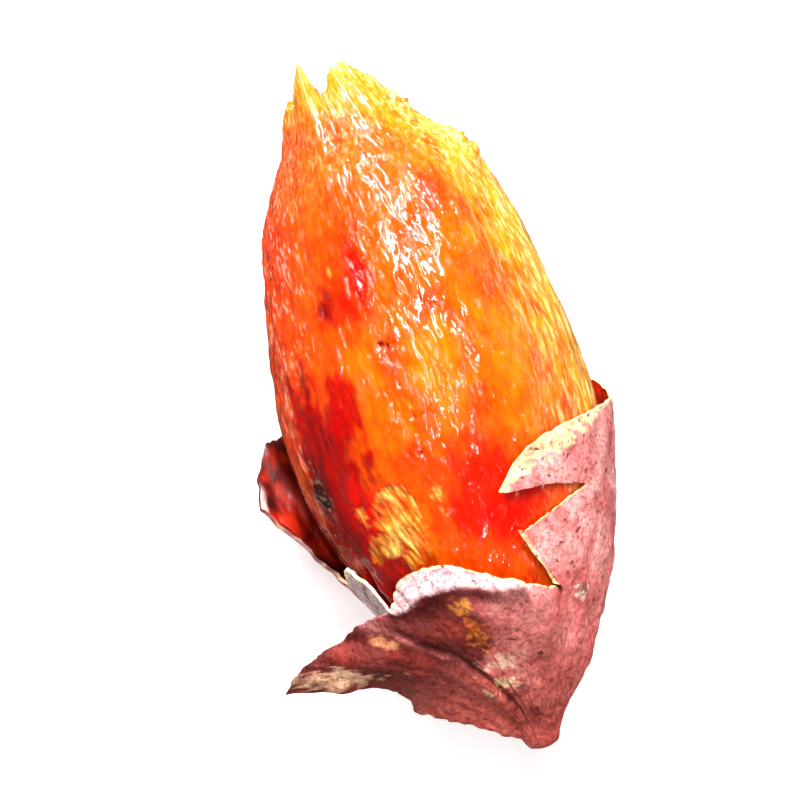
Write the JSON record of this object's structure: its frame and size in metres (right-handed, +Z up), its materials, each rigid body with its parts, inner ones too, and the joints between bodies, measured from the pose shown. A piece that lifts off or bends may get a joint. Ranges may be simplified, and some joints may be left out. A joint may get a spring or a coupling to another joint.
{
  "type": "roasted sweet potato",
  "caption": "Roasted sweet potato lying on its back, its upper part peeled to wet caramelised orange flesh, the torn skin left as a loose flapped cup round the tail.",
  "frame": {"origin": "the middle of the flat resting spot on the back, at the level of the surface it lies on", "axes": "+Y from the tail to the peeled end, +Z up out of the front, +X to the right seen from the front with the peeled end up"},
  "size_m": [0.0899, 0.1598, 0.0583],
  "materials": {
    "flesh": null,
    "skin": null
  },
  "bodies": {
    "root": {"flesh": "flesh", "skin": "skin"}
  },
  "joints": []
}
